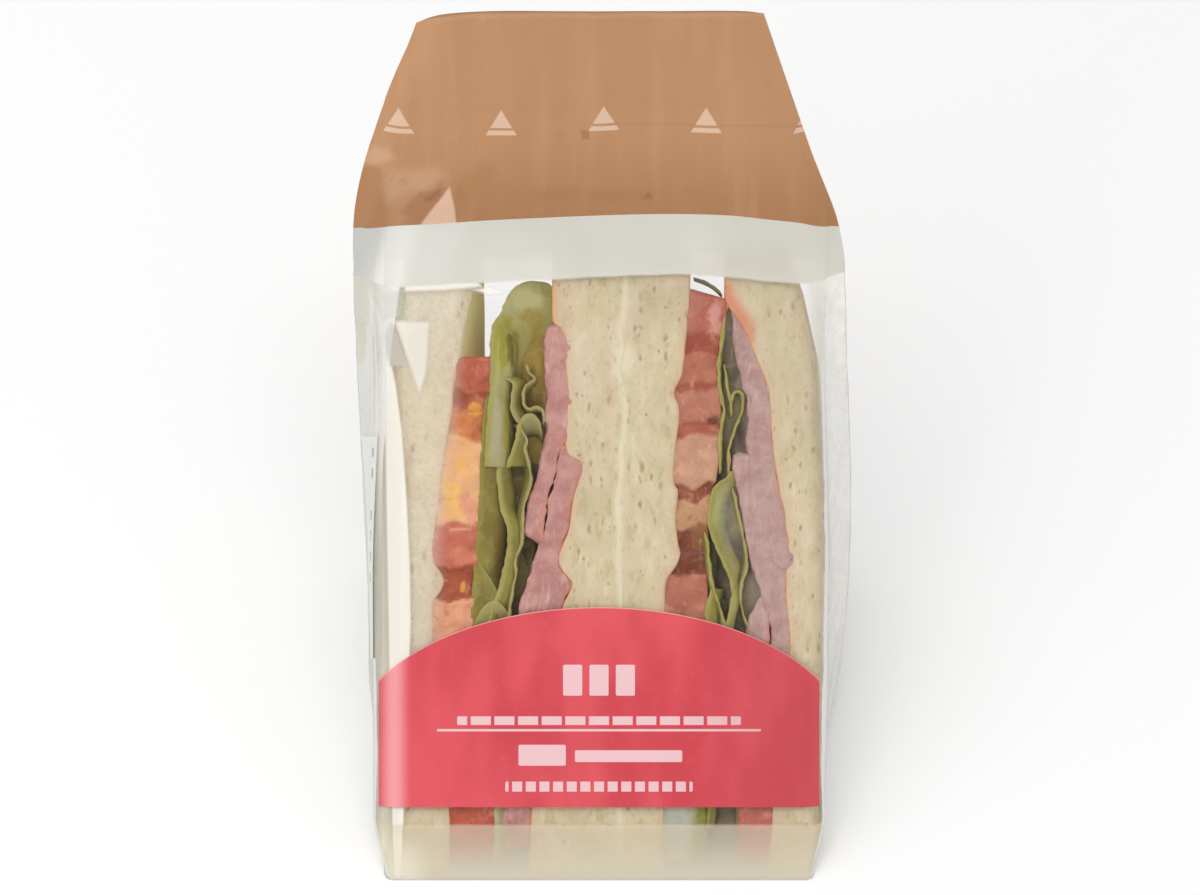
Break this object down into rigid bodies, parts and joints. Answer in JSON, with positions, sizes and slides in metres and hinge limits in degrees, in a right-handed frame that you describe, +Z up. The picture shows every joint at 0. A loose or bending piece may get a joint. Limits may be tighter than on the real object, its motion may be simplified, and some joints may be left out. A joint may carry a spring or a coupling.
{
  "type": "packed blt sandwich",
  "caption": "Triangular bacon, lettuce and tomato sandwich pack: sealed clear film bag with a folded tan header and an arched red label, standing on its short side.",
  "frame": {"origin": "middle of the pack's footprint, at the height of the surface that it stands on", "axes": "+Z up, +X to the right seen from the front, and the cut faces look towards -Y and up at 45 degrees"},
  "size_m": [0.1102, 0.1224, 0.1456],
  "materials": {
    "bag": "clear film bag over pale bread, with a tan printed header",
    "front_label": "satin printed paper",
    "side_label": "matt thermal paper"
  },
  "bodies": {
    "root": {"bag": "bag", "front_label": "front_label", "side_label": "side_label"}
  },
  "joints": []
}
